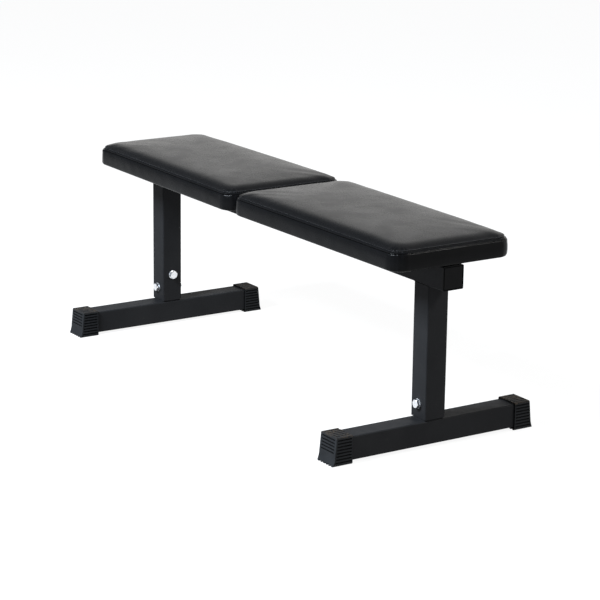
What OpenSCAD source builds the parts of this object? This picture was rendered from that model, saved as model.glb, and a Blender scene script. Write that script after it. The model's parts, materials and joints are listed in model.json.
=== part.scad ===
// Flat weight bench: two padded cushions on a steel rail, two bolted posts and two foot bars.
// Origin: middle of the bench on the floor. +X runs along the rail to the front, +Z is up.

/* [Frame] */
// Outer side of the square steel tube of the rail, posts and foot bars
tube_side = 50; // [46:1:60]
// Wall thickness of the steel tube
tube_wall = 2; // [1.5:0.5:3]
// Outer corner radius of the steel tube
tube_corner = 3; // [2.5:0.5:5]
// Length of the rail, without its two end plugs
rail_length = 1208; // [1180:2:1300]
// Distance between the centres of the front and rear posts
post_spacing = 1070; // [900:2:1100]
// Length of each foot bar, without its caps
foot_bar_length = 470; // [400:2:600]
// Height of the pads' underside above the floor
seat_height = 392; // [360:1:430]
// Gap between the lower end of a post and the top of its foot bar
post_gap = 2.5; // [2.5:0.5:5]
// Length of the stub that stands on the foot bar inside the post
stub_length = 94; // [84:1:140]
// Leg of the weld beads on the frame
weld_leg = 4; // [2:0.5:5]

/* [Post fasteners] */
// Height of the cross bolt above the floor
cross_bolt_height = 89; // [84:1:96]
// Height of the inner bolt above the floor
inner_bolt_height = 122; // [110:1:130]
// Thread diameter of the post bolts
frame_thread = 10; // [8:1:12]
// Length of the cross bolt under its head
cross_bolt_length = 65; // [65:1:80]
// Length of the inner bolt under its head
inner_bolt_length = 18; // [14:1:22]

/* [Foot caps] */
// Thickness of a foot cap over the top and sides of the bar
cap_wall = 3.5; // [2.5:0.5:5]
// Thickness of a foot cap under the bar
cap_sole = 6; // [5:0.5:9]
// Length of bar that a foot cap covers
cap_grip = 32; // [20:1:45]
// Depth of the grooves in a foot cap
groove_depth = 1.9; // [0.6:0.1:2]
// Number of grooves down each long side of a foot cap
side_grooves = 8; // [4:1:8]
// Number of grooves along the top and along the sole of a foot cap
top_grooves = 5; // [3:1:6]

/* [Pads] */
// Length of each pad
pad_length = 604; // [560:1:620]
// Width of a pad at its inner end, near the middle of the bench
pad_inner_width = 300; // [240:2:340]
// Width of a pad at its outer end
pad_outer_width = 287; // [230:1:330]
// Gap between the two pads
pad_gap = 14; // [6:1:40]
// Corner radius of a pad
pad_corner = 32; // [20:1:60]
// Height of the seam above the pad's underside
seam_height = 36; // [30:1:45]
// Height of the top's rolled edge above the seam
roll_height = 17; // [8:1:20]
// Width of the top's rolled edge
roll_width = 32; // [20:1:50]
// Extra height in the middle of the top
crown_height = 3; // [1:0.5:8]
// Thickness of the vinyl cover
vinyl = 1.5; // [1:0.1:2]
// Thickness of the plywood board
board_thickness = 15; // [12:1:18]
// Width of the vinyl that is folded under the board
fold_width = 30; // [20:1:40]
// Distance between neighbouring staples
staple_pitch = 42; // [30:1:60]

/* [Pad brackets] */
// Length of each bracket, across the rail
bracket_length = 200; // [180:2:220]
// Width of each bracket, along the rail
bracket_width = 40; // [30:1:50]
// Thickness of each bracket
bracket_thickness = 3; // [3:0.5:5]
// Distance of the inner bracket from the inner end of its pad
inner_bracket_at = 118; // [90:1:160]
// Distance of the outer bracket from the inner end of its pad
outer_bracket_at = 482; // [420:1:500]
// Distance of the pad bolts from the middle of the rail
pad_bolt_offset = 75; // [60:1:85]

/* [Hidden] */
front = 1;
rear = -1;
eps = 0.01;
round_fn = 48;

// Heights of the frame, from the floor up
bar_bottom = cap_sole;
bar_top = bar_bottom + tube_side;
post_bottom = bar_top + post_gap;
rail_top = seat_height - bracket_thickness;
rail_bottom = rail_top - tube_side;
half_tube = tube_side / 2;

// Smallest inside corner radius of any tube
least_inside_corner = 0.5;

// Stub: the tube that slides into a post
stub_clearance = 0.5;
stub_side = tube_side - 2 * tube_wall - 2 * stub_clearance;
stub_wall = 2.5;
stub_weld_clearance = 0.5;

// Bolt and nut proportions
frame_hole = frame_thread + 1;
frame_flats = 1.7 * frame_thread;
frame_head = 0.65 * frame_thread;
frame_nut = 0.8 * frame_thread;
frame_washer = 2 * frame_thread;
washer_thickness = 2;
washer_bore_gap = 0.5;
nut_bore_gap = 0.2;
inner_bolt_turn = 15;
bolt_tip = 1;
head_chamfer_start = 0.95;
head_chamfer_growth = 3.4;

// Weld bead: where its stepped face bends, as shares of its leg
bead_near = 0.28;
bead_far = 0.62;

// Rail plugs
plug_flange = 3;
plug_rim = 1.2;
plug_groove_width = 2;
plug_groove_depth = 2.2;
plug_depth = 18;
plug_wall = 2.5;
plug_clearance = 0.2;
plug_corner = 1.2;
plug_inner_corner = 0.8;

// Foot cap: its end wall leans out from the top and flares near the floor
cap_width = tube_side + 2 * cap_wall;
cap_height = cap_sole + tube_side + cap_wall;
cap_corner = 3;
cap_clearance = 0.3;
cap_end_wall = 6;
cap_flare = 9;
cap_flare_height = 20;
cap_flare_steps = 6;
cap_flare_power = 1.8;
cap_lean_share = 0.45;
cap_border = 3;
groove_width = 3;
first_groove_drop = 6.4;
last_groove_rise = 0.6;
side_groove_pitch = (cap_height - first_groove_drop - last_groove_rise) / side_grooves;
side_groove_start = 0.85 * cap_border;
sole_groove_depth = 3.4;
sole_groove_width = 4.4;
mouth_chamfer = 2.2;
end_groove_depth = 0.8 * groove_depth;
top_groove_pitch = cap_width / (top_grooves + 1);
end_grooves = 5;

// Pad outline and heights
taper = atan((pad_inner_width - pad_outer_width) / 2 / pad_length);
corner_steps = 8;
roll_steps = 6;
crown_inset = 110;
smallest_corner = 6;
dust_cloth_thickness = 0.8;
dust_cloth_gap = 0.2;
board_bottom = seat_height + dust_cloth_thickness;
board_top = board_bottom + board_thickness;
band_bottom = board_bottom - vinyl;
seam_level = band_bottom + seam_height;
foam_clearance = 0.3;
board_inset = vinyl + foam_clearance;

// Pad fasteners
pad_thread = 8;
pad_hole = 9;
pad_bolt_length = 20;
pad_bolt_flats = 13;
pad_bolt_head = 5.3;
pad_washer = 16;
pad_washer_thickness = 1.6;
pad_washer_gap = 0.4;
tee_barrel = 10;
tee_hole_gap = 0.2;
tee_barrel_length = 11;
tee_flange = 22;
tee_flange_thickness = 1.5;
tee_relief_gap = 1;
bracket_corner = 6;
bracket_weld_leg = 2;
bracket_weld_length = 44;

// Staples
staple_crown = 11;
staple_wire = 1.2;
staple_leg = 8;
staple_inset = 16;

steel_black = "#2b2b2e";
rubber_black = "#333436";
zinc = "#c9ccd1";
vinyl_black = "#3a3a3b";
foam_cream = "#d9c98a";
board_brown = "#c8a36a";
cloth_black = "#1d1d1f";

// ---------- General shapes ----------

module rounded_square(side_x, side_y, radius) {
    square([side_x - 2 * radius, side_y], center = true);
    square([side_x, side_y - 2 * radius], center = true);
    for (sx = [-1, 1])
        for (sy = [-1, 1])
            translate([sx * (side_x / 2 - radius), sy * (side_y / 2 - radius)])
                circle(r = radius, $fn = round_fn);
}

module tube_section(side, wall, corner) {
    difference() {
        rounded_square(side, side, corner);
        rounded_square(side - 2 * wall, side - 2 * wall, corner - wall + least_inside_corner);
    }
}

// A cylinder along Z from the origin
module rod(diameter, length) {
    cylinder(d = diameter, h = length, $fn = round_fn);
}

// A hexagon prism along Z from the origin, given across its flats
module hex(flats, length) {
    cylinder(d = flats / cos(30), h = length, $fn = 6);
}

// Hex head bolt: the seat of its head is at the origin and its shank points along +Z
module hex_bolt(thread, length, flats, head) {
    translate([0, 0, -head])
        intersection() {
            hex(flats, head);
            cylinder(d1 = head_chamfer_start * flats,
                     d2 = head_chamfer_start * flats + head_chamfer_growth * head,
                     h = head, $fn = round_fn);
        }
    translate([0, 0, -eps])
        rod(thread, length - bolt_tip + eps);
    translate([0, 0, length - bolt_tip])
        cylinder(d1 = thread, d2 = thread - 2 * bolt_tip, h = bolt_tip, $fn = round_fn);
}

module washer(inner, outer, thickness) {
    difference() {
        rod(outer, thickness);
        translate([0, 0, -1])
            rod(inner, thickness + 2);
    }
}

module hex_nut(thread, flats, thickness) {
    difference() {
        hex(flats, thickness);
        translate([0, 0, -1])
            rod(thread + nut_bore_gap, thickness + 2);
    }
}

// A three-sided weld bead along Y, in the corner between a floor and a wall at the origin
module bead(leg, length) {
    translate([0, length / 2, 0])
        rotate([90, 0, 0])
            linear_extrude(length)
                polygon([[0, 0], [leg, 0], [leg * bead_far, leg * bead_near],
                         [leg * bead_near, leg * bead_far], [0, leg]]);
}

// Places an end's pieces at its post, with local +X pointing to the middle of the bench
module at_end(side) {
    translate([side * post_spacing / 2, 0, 0])
        mirror([side > 0 ? 1 : 0, 0, 0])
            children();
}

// Places a pad's pieces, with local +X pointing from its inner end to its outer end
module at_pad(side) {
    mirror([side > 0 ? 0 : 1, 0, 0])
        translate([pad_gap / 2, 0, 0])
            children();
}

// ---------- Frame ----------

module rail() {
    color(steel_black)
        translate([-rail_length / 2, 0, rail_bottom + half_tube])
            rotate([90, 0, 90])
                linear_extrude(rail_length)
                    tube_section(tube_side, tube_wall, tube_corner);
}

// Plug: a flange with a groove around its face, and a hollow insert that grips inside the tube
module rail_plug(side) {
    insert_side = tube_side - 2 * tube_wall - 2 * plug_clearance;
    groove_outer = tube_side - 2 * plug_rim;
    groove_inner = groove_outer - 2 * plug_groove_width;
    color(rubber_black)
        translate([side * rail_length / 2, 0, rail_bottom + half_tube])
            rotate([90, 0, 90 * side]) {
                difference() {
                    linear_extrude(plug_flange)
                        rounded_square(tube_side, tube_side, tube_corner);
                    translate([0, 0, plug_flange - plug_groove_depth])
                        linear_extrude(plug_flange)
                            difference() {
                                rounded_square(groove_outer, groove_outer, tube_corner - plug_rim);
                                rounded_square(groove_inner, groove_inner, plug_inner_corner);
                            }
                }
                translate([0, 0, -plug_depth])
                    linear_extrude(plug_depth + eps)
                        difference() {
                            rounded_square(insert_side, insert_side, plug_corner);
                            rounded_square(insert_side - 2 * plug_wall, insert_side - 2 * plug_wall,
                                           plug_inner_corner);
                        }
            }
}

// Post: open tube, drilled through both sides for the cross bolt and once for the inner bolt
module post(side) {
    color(steel_black)
        at_end(side)
            difference() {
                translate([0, 0, post_bottom])
                    linear_extrude(rail_bottom - post_bottom)
                        tube_section(tube_side, tube_wall, tube_corner);
                cross_hole(tube_side);
                inner_hole(tube_side);
            }
}

module cross_hole(side_length) {
    translate([0, side_length, cross_bolt_height])
        rotate([90, 0, 0])
            rod(frame_hole, 2 * side_length);
}

module inner_hole(side_length) {
    translate([side_length / 4, 0, inner_bolt_height])
        rotate([0, 90, 0])
            rod(frame_hole, side_length);
}

module post_welds(side) {
    color(steel_black)
        at_end(side)
            translate([0, 0, rail_bottom])
                mirror([0, 0, 1])
                    for (turn = [0, 180])
                        rotate([0, 0, turn])
                            translate([half_tube, 0, 0])
                                bead(weld_leg, tube_side - 2 * tube_corner);
}

module foot_bar(side) {
    color(steel_black)
        at_end(side)
            translate([0, foot_bar_length / 2, bar_bottom + half_tube])
                rotate([90, 0, 0])
                    linear_extrude(foot_bar_length)
                        tube_section(tube_side, tube_wall, tube_corner);
}

module stub(side) {
    color(steel_black)
        at_end(side)
            difference() {
                translate([0, 0, bar_top])
                    linear_extrude(stub_length)
                        tube_section(stub_side, stub_wall, tube_corner);
                cross_hole(tube_side);
                inner_hole(tube_side);
            }
}

// The bead that joins the stub to the foot bar, low enough to stay below the post
module stub_weld(side) {
    leg = post_gap - stub_weld_clearance;
    color(steel_black)
        at_end(side)
            translate([0, 0, bar_top])
                for (turn = [0 : 90 : 270])
                    rotate([0, 0, turn])
                        translate([stub_side / 2, 0, 0])
                            bead(leg, stub_side - 2 * tube_corner);
}

// Nut welded inside the stub, behind the hole for the inner bolt
module weld_nut(side) {
    color(zinc)
        at_end(side)
            translate([stub_side / 2 - stub_wall, 0, inner_bolt_height])
                rotate([0, -90, 0])
                    hex_nut(frame_thread, frame_flats, frame_nut);
}

// ---------- Post fasteners ----------

module cross_bolt(side) {
    color(zinc)
        at_end(side)
            translate([0, -half_tube - washer_thickness, cross_bolt_height])
                rotate([-90, 0, 0])
                    hex_bolt(frame_thread, cross_bolt_length, frame_flats, frame_head);
}

module cross_washers(side) {
    color(zinc)
        at_end(side)
            for (face = [-1, 1])
                translate([0, face * half_tube, cross_bolt_height])
                    rotate([-90 * face, 0, 0])
                        washer(frame_thread + washer_bore_gap, frame_washer, washer_thickness);
}

module cross_nut(side) {
    color(zinc)
        at_end(side)
            translate([0, half_tube + washer_thickness, cross_bolt_height])
                rotate([-90, 0, 0])
                    hex_nut(frame_thread, frame_flats, frame_nut);
}

module inner_bolt(side) {
    color(zinc)
        at_end(side)
            translate([half_tube + washer_thickness, 0, inner_bolt_height])
                rotate([0, -90, 0])
                    rotate([0, 0, inner_bolt_turn])
                        hex_bolt(frame_thread, inner_bolt_length, frame_flats, frame_head);
}

module inner_washer(side) {
    color(zinc)
        at_end(side)
            translate([half_tube, 0, inner_bolt_height])
                rotate([0, 90, 0])
                    washer(frame_thread + washer_bore_gap, frame_washer, washer_thickness);
}

// ---------- Foot caps ----------

// Side view of a cap: Y outwards from its rim, Z up from the floor. The end wall leans and flares.
function cap_lean(z) = cap_lean_share * (cap_height - z) / (cap_height - cap_flare_height);
function cap_curl(z) = cap_lean_share
    + (1 - cap_lean_share) * pow((cap_flare_height - z) / cap_flare_height, cap_flare_power);
function cap_end_y(z) = cap_grip + cap_end_wall
    + cap_flare * (z > cap_flare_height ? cap_lean(z) : cap_curl(z));
function cap_profile() = concat(
    [[0, 0], [0, cap_height], [cap_end_y(cap_height), cap_height]],
    [for (i = [0 : cap_flare_steps])
        let (z = cap_flare_height * (1 - i / cap_flare_steps))
        [cap_end_y(z), z]]);

module cap_body() {
    intersection() {
        translate([-cap_width / 2, 0, 0])
            rotate([90, 0, 90])
                linear_extrude(cap_width)
                    polygon(cap_profile());
        translate([0, 0, cap_height / 2])
            rotate([-90, 0, 0])
                linear_extrude(cap_grip + cap_end_wall + cap_flare + 1)
                    rounded_square(cap_width, cap_height, cap_corner);
    }
}

// Round bar that cuts a groove along Y from the origin
module groove_rod(width, length) {
    rotate([-90, 0, 0])
        rod(width, length);
}

module cap_side_grooves() {
    sink = groove_width / 2 - groove_depth;
    for (i = [0 : side_grooves - 1]) {
        z = cap_height - first_groove_drop - i * side_groove_pitch;
        for (sx = [-1, 1])
            translate([sx * (cap_width / 2 + sink), side_groove_start, z])
                groove_rod(groove_width, cap_end_y(z) - side_groove_start - cap_border);
    }
}

module cap_top_grooves() {
    sink = groove_width / 2 - groove_depth;
    for (i = [1 : top_grooves])
        translate([-cap_width / 2 + i * top_groove_pitch, -1, cap_height + sink])
            groove_rod(groove_width, cap_grip + cap_end_wall - cap_border + 1);
}

// Grooves along the whole sole, which show as notches at its end
module cap_sole_grooves() {
    rise = sole_groove_depth - sole_groove_width / 2;
    for (i = [1 : top_grooves])
        translate([-cap_width / 2 + i * top_groove_pitch, -1, 0]) {
            translate([0, 0, rise])
                groove_rod(sole_groove_width, cap_grip + cap_end_wall + cap_flare + 2);
            translate([-sole_groove_width / 2, 0, -1])
                cube([sole_groove_width, cap_grip + cap_end_wall + cap_flare + 2, rise + 1]);
        }
}

// Bevel inside a cap's mouth, which leads it onto the bar
module cap_mouth() {
    cavity = tube_side + 2 * cap_clearance;
    wide = cavity + 2 * mouth_chamfer;
    translate([0, mouth_chamfer, cap_sole + half_tube])
        rotate([90, 0, 0])
            hull() {
                linear_extrude(eps)
                    rounded_square(cavity, cavity, tube_corner);
                translate([0, 0, mouth_chamfer])
                    linear_extrude(eps)
                        rounded_square(wide, wide, tube_corner);
            }
}

module cap_end_grooves() {
    panel = cap_width - 4 * cap_border;
    sink = groove_width / 2 - end_groove_depth;
    for (i = [0 : end_grooves - 1]) {
        z = cap_height - first_groove_drop - i * side_groove_pitch;
        translate([-panel / 2, cap_end_y(z) + sink, z])
            rotate([0, 90, 0])
                rod(groove_width, panel);
    }
}

module foot_cap(side, hand) {
    color(rubber_black)
        at_end(side)
            mirror([0, hand > 0 ? 0 : 1, 0])
                translate([0, foot_bar_length / 2 - cap_grip, 0])
                    difference() {
                        cap_body();
                        translate([0, cap_grip + cap_clearance, cap_sole + half_tube])
                            rotate([90, 0, 0])
                                linear_extrude(cap_grip + 1)
                                    rounded_square(tube_side + 2 * cap_clearance,
                                                   tube_side + 2 * cap_clearance, tube_corner);
                        cap_mouth();
                        cap_side_grooves();
                        cap_top_grooves();
                        cap_sole_grooves();
                        cap_end_grooves();
                    }
}

// ---------- Pads ----------

function arc_points(centre, radius, from, to) =
    [for (i = [0 : corner_steps])
        let (a = from + (to - from) * i / corner_steps)
        [centre[0] + radius * cos(a), centre[1] + radius * sin(a)]];

// Half of the pad's tapered outline on the +Y side, moved inwards by an inset
function half_outline(inset) =
    let (radius = max(pad_corner - inset, smallest_corner),
         q = inset + radius,
         half = pad_inner_width / 2,
         inner = [q, half - q * tan(taper) - q / cos(taper)],
         outer = [pad_length - q, half - (pad_length - q) * tan(taper) - q / cos(taper)])
    concat(arc_points(outer, radius, 0, 90 - taper),
           arc_points(inner, radius, 90 - taper, 180));

function flipped(points) = [for (i = [len(points) - 1 : -1 : 0]) [points[i][0], -points[i][1]]];
function pad_outline(inset) = concat(half_outline(inset), flipped(half_outline(inset)));

module pad_slab(inset, bottom, thickness) {
    translate([0, 0, bottom])
        linear_extrude(thickness)
            polygon(pad_outline(inset));
}

// The domed top above the seam, made smaller all round by a skin thickness
module pad_dome(skin) {
    hull() {
        pad_slab(skin, seam_level - eps, eps);
        for (i = [1 : roll_steps]) {
            a = 90 * i / roll_steps;
            pad_slab(skin + roll_width * (1 - cos(a)),
                     seam_level + roll_height * sin(a) - skin, eps);
        }
        pad_slab(crown_inset + skin, seam_level + roll_height + crown_height - skin, eps);
    }
}

module pad_top_panel(side) {
    color(vinyl_black)
        at_pad(side)
            difference() {
                pad_dome(0);
                pad_dome(vinyl);
                pad_slab(vinyl, seam_level - 1, 1 + eps);
            }
}

module pad_side_band(side) {
    color(vinyl_black)
        at_pad(side)
            difference() {
                pad_slab(0, band_bottom, seam_height - 2 * eps);
                pad_slab(vinyl, board_bottom, seam_height);
                pad_slab(fold_width, band_bottom - 1, vinyl + 2);
                staple_legs();
            }
}

// Foam: fills the cover above the board, with a hollow over each tee nut
module pad_foam(side) {
    color(foam_cream)
        at_pad(side)
            difference() {
                union() {
                    pad_slab(board_inset, board_top, seam_level - board_top);
                    pad_dome(board_inset);
                }
                pad_bolt_places()
                    translate([0, 0, board_top - 1])
                        rod(tee_flange + tee_relief_gap, 1 + tee_flange_thickness + foam_clearance);
            }
}

module pad_board(side) {
    color(board_brown)
        at_pad(side)
            difference() {
                pad_slab(board_inset, board_bottom, board_thickness);
                pad_bolt_places()
                    translate([0, 0, board_bottom - 1])
                        rod(tee_barrel + tee_hole_gap, board_thickness + 2);
                staple_legs();
            }
}

module pad_dust_cloth(side) {
    color(cloth_black)
        at_pad(side)
            difference() {
                pad_slab(fold_width + dust_cloth_gap, seat_height, dust_cloth_thickness);
                pad_bolt_places()
                    translate([0, 0, seat_height - 1])
                        rod(pad_hole, dust_cloth_thickness + 2);
            }
}

// ---------- Staples ----------

// Places of the staples: along both long sides and across both ends of the pad
module staple_places() {
    side_run = pad_length - 2 * pad_corner;
    side_count = floor(side_run / staple_pitch);
    for (i = [0 : side_count])
        for (sy = [-1, 1])
            translate([pad_corner + i * side_run / side_count,
                       sy * (pad_inner_width / 2 - staple_inset
                             - (pad_corner + i * side_run / side_count) * tan(taper)), 0])
                children();
    end_run = pad_outer_width - 2 * pad_corner;
    end_count = floor(end_run / staple_pitch);
    for (i = [0 : end_count])
        for (x = [staple_inset, pad_length - staple_inset])
            translate([x, -end_run / 2 + i * end_run / end_count, 0])
                rotate([0, 0, 90])
                    children();
}

module staple_legs() {
    staple_places()
        for (sx = [-1, 1])
            translate([sx * (staple_crown - staple_wire) / 2, 0, band_bottom + staple_leg / 2 - eps])
                cube([staple_wire, staple_wire, staple_leg], center = true);
}

module pad_staples(side) {
    color(zinc)
        at_pad(side) {
            staple_places()
                translate([0, 0, band_bottom - staple_wire / 2])
                    cube([staple_crown, staple_wire, staple_wire], center = true);
            staple_legs();
        }
}

// ---------- Pad brackets and fasteners ----------

module bracket(side, at) {
    color(steel_black)
        at_pad(side)
            translate([at, 0, rail_top])
                difference() {
                    linear_extrude(bracket_thickness)
                        rounded_square(bracket_width, bracket_length, bracket_corner);
                    for (sy = [-1, 1])
                        translate([0, sy * pad_bolt_offset, -1])
                            rod(pad_hole, bracket_thickness + 2);
                }
}

module bracket_welds(side) {
    color(steel_black)
        at_pad(side)
            for (at = [inner_bracket_at, outer_bracket_at])
                translate([at, 0, rail_top])
                    for (turn = [0, 180])
                        rotate([0, 0, turn])
                            translate([bracket_width / 2, 0, 0])
                                bead(bracket_weld_leg, bracket_weld_length);
}

module pad_bolt_places() {
    for (at = [inner_bracket_at, outer_bracket_at])
        for (sy = [-1, 1])
            translate([at, sy * pad_bolt_offset, 0])
                children();
}

module pad_bolts(side) {
    color(zinc)
        at_pad(side)
            pad_bolt_places()
                translate([0, 0, rail_top - pad_washer_thickness])
                    hex_bolt(pad_thread, pad_bolt_length, pad_bolt_flats, pad_bolt_head);
}

module pad_washers(side) {
    color(zinc)
        at_pad(side)
            pad_bolt_places()
                translate([0, 0, rail_top - pad_washer_thickness])
                    washer(pad_thread + pad_washer_gap, pad_washer, pad_washer_thickness);
}

// Tee nut: a barrel pressed into the board and a round flange on top of it
module pad_tee_nuts(side) {
    color(zinc)
        at_pad(side)
            pad_bolt_places()
                difference() {
                    union() {
                        translate([0, 0, board_top - tee_barrel_length])
                            rod(tee_barrel, tee_barrel_length + eps);
                        translate([0, 0, board_top])
                            rod(tee_flange, tee_flange_thickness);
                    }
                    translate([0, 0, board_top - tee_barrel_length - 1])
                        rod(pad_thread + nut_bore_gap, tee_barrel_length + tee_flange_thickness + 2);
                }
}

// ---------- Assembly ----------

rail();
rail_plug(front);  // front_rail_plug
rail_plug(rear);  // rear_rail_plug
post(front);  // front_post
post(rear);  // rear_post
post_welds(front);  // front_post_welds
post_welds(rear);  // rear_post_welds
foot_bar(front);  // front_foot_bar
foot_bar(rear);  // rear_foot_bar
stub(front);  // front_stub
stub(rear);  // rear_stub
stub_weld(front);  // front_stub_weld
stub_weld(rear);  // rear_stub_weld
weld_nut(front);  // front_weld_nut
weld_nut(rear);  // rear_weld_nut
foot_cap(front, 1);  // front_left_foot_cap
foot_cap(front, -1);  // front_right_foot_cap
foot_cap(rear, 1);  // rear_left_foot_cap
foot_cap(rear, -1);  // rear_right_foot_cap
cross_bolt(front);  // front_cross_bolt
cross_bolt(rear);  // rear_cross_bolt
cross_washers(front);  // front_cross_washers
cross_washers(rear);  // rear_cross_washers
cross_nut(front);  // front_cross_nut
cross_nut(rear);  // rear_cross_nut
inner_bolt(front);  // front_inner_bolt
inner_bolt(rear);  // rear_inner_bolt
inner_washer(front);  // front_inner_washer
inner_washer(rear);  // rear_inner_washer
bracket(front, outer_bracket_at);  // front_outer_bracket
bracket(front, inner_bracket_at);  // front_inner_bracket
bracket(rear, inner_bracket_at);  // rear_inner_bracket
bracket(rear, outer_bracket_at);  // rear_outer_bracket
bracket_welds(front);  // front_bracket_welds
bracket_welds(rear);  // rear_bracket_welds
pad_board(front);  // front_pad_board
pad_board(rear);  // rear_pad_board
pad_foam(front);  // front_pad_foam
pad_foam(rear);  // rear_pad_foam
pad_top_panel(front);  // front_pad_top_panel
pad_top_panel(rear);  // rear_pad_top_panel
pad_side_band(front);  // front_pad_side_band
pad_side_band(rear);  // rear_pad_side_band
pad_dust_cloth(front);  // front_pad_dust_cloth
pad_dust_cloth(rear);  // rear_pad_dust_cloth
pad_staples(front);  // front_pad_staples
pad_staples(rear);  // rear_pad_staples
pad_tee_nuts(front);  // front_pad_tee_nuts
pad_tee_nuts(rear);  // rear_pad_tee_nuts
pad_bolts(front);  // front_pad_bolts
pad_bolts(rear);  // rear_pad_bolts
pad_washers(front);  // front_pad_washers
pad_washers(rear);  // rear_pad_washers
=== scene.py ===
"""Looks for the flat weight bench: vinyl cushions, powder-coated steel, zinc bolts and rubber caps."""

import json
import math
import random

import bmesh
import bpy
import numpy as np
from mathutils import Matrix, Vector, noise
from mathutils.kdtree import KDTree


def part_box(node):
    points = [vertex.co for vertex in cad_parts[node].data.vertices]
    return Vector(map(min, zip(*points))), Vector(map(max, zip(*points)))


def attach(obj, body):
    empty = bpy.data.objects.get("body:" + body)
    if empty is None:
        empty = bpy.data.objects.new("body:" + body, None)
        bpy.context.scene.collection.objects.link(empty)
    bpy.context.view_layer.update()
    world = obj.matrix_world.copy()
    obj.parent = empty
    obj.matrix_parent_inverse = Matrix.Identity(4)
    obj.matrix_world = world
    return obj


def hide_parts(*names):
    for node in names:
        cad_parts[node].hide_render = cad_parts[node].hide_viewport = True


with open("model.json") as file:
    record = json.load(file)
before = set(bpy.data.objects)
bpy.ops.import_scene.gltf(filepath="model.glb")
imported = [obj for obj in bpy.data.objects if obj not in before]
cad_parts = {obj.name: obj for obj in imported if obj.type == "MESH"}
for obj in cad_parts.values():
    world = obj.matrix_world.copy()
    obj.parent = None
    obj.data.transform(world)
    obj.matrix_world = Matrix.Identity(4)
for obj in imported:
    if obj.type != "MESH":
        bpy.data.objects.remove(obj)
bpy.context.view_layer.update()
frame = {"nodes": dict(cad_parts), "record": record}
nodes = frame["nodes"]
scene = bpy.context.scene
MM = 0.001
BODY = "root"
ENDS = {"front": 1, "rear": -1}

# Foot caps: distance of the bars from the middle, half a cap's width, its rim, its outer end and its top
BAR_AT = (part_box("front_foot_bar")[0].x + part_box("front_foot_bar")[1].x) / 2
CAP_LOW, CAP_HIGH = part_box("front_left_foot_cap")
CAP_HALF = (CAP_HIGH.x - CAP_LOW.x) / 2
CAP_RIM, CAP_END, CAP_TOP = CAP_LOW.y, CAP_HIGH.y, CAP_HIGH.z
# The cap's end wall leans out by this share of its flare, and curls out to the whole of it near the floor
CAP_FLARE, CAP_LEAN = 0.009, 0.45
CAP_FLARE_HEIGHT, CAP_FLARE_POWER = 0.020, 1.8

# ---------------------------------------------------------------- materials


class Shader:
    """A material with a Principled shader, and short calls that add and join its nodes."""

    def __init__(self, name, rough, **constants):
        self.material = bpy.data.materials.new(name)
        self.material.use_nodes = True
        self.tree = self.material.node_tree
        self.shader = next(n for n in self.tree.nodes if n.type == "BSDF_PRINCIPLED")
        self.shader.inputs["Roughness"].default_value = rough
        for label, value in constants.items():
            self.shader.inputs[label.replace("_", " ")].default_value = value
        coordinates = self.tree.nodes.new("ShaderNodeTexCoord")
        self.place = coordinates.outputs["Object"]
        self.normal = None

    def node(self, kind, inputs=None, **settings):
        made = self.tree.nodes.new("ShaderNode" + kind)
        for key, value in settings.items():
            setattr(made, key, value)
        for key, value in (inputs or {}).items():
            socket = made.inputs[key]
            if isinstance(value, bpy.types.NodeSocket):
                self.tree.links.new(value, socket)
            else:
                socket.default_value = value
        return made

    def stretched(self, scale):
        return self.node("Mapping", {"Vector": self.place, "Scale": scale}).outputs["Vector"]

    def noise(self, scale, detail=3.0, rough=0.5, vector=None):
        inputs = {"Vector": vector or self.place, "Scale": scale, "Detail": detail, "Roughness": rough}
        return self.node("TexNoise", inputs).outputs["Fac"]

    def cells(self, scale, feature="F1"):
        inputs = {"Vector": self.place, "Scale": scale}
        return self.node("TexVoronoi", inputs, feature=feature).outputs["Distance"]

    def wave(self, scale, vector, direction="X"):
        inputs = {"Vector": vector, "Scale": scale, "Distortion": 0.0, "Detail": 0.0}
        return self.node("TexWave", inputs, bands_direction=direction).outputs["Fac"]

    def math(self, operation, a, b=0.0):
        return self.node("Math", {0: a, 1: b}, operation=operation).outputs["Value"]

    def ranged(self, value, low, high, new_low, new_high):
        inputs = {"Value": value, "From Min": low, "From Max": high, "To Min": new_low, "To Max": new_high}
        return self.node("MapRange", inputs, clamp=True).outputs["Result"]

    def mixed(self, share, first, second):
        made = self.node("Mix", data_type="RGBA")
        for index, value in ((0, share), (6, first), (7, second)):
            if isinstance(value, bpy.types.NodeSocket):
                self.tree.links.new(value, made.inputs[index])
            else:
                made.inputs[index].default_value = (*value, 1.0) if isinstance(value, tuple) else value
        return made.outputs[2]

    def set(self, label, value):
        self.tree.links.new(value, self.shader.inputs[label])

    def bump(self, height, depth, strength=1.0):
        """Adds a bump layer on top of the ones before it. depth is in metres."""
        inputs = {"Height": height, "Distance": depth, "Strength": strength}
        if self.normal:
            inputs["Normal"] = self.normal
        self.normal = self.node("Bump", inputs).outputs["Normal"]
        self.set("Normal", self.normal)


def powder_coat():
    dark, light, dust_colour = (0.0096, 0.0099, 0.0107), (0.0122, 0.0126, 0.0134), (0.035, 0.031, 0.027)
    s = Shader("powder_coat", 0.5, Specular_IOR_Level=0.03)
    base = s.mixed(s.ranged(s.noise(9.0, 4.0), 0.35, 0.7, 0, 1), dark, light)
    dust = s.ranged(s.noise(260.0, 2.0), 0.70, 0.80, 0, 0.5)
    s.set("Base Color", s.mixed(dust, base, dust_colour))
    s.set("Roughness", s.ranged(s.noise(38.0, 5.0, 0.65), 0.3, 0.7, 0.48, 0.60))
    s.bump(s.noise(700.0, 2.0), 0.00016, 0.55)
    s.bump(s.cells(420.0), 0.0001, 0.25)
    s.bump(s.noise(55.0, 2.0), 0.0005, 0.18)
    return s.material


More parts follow.
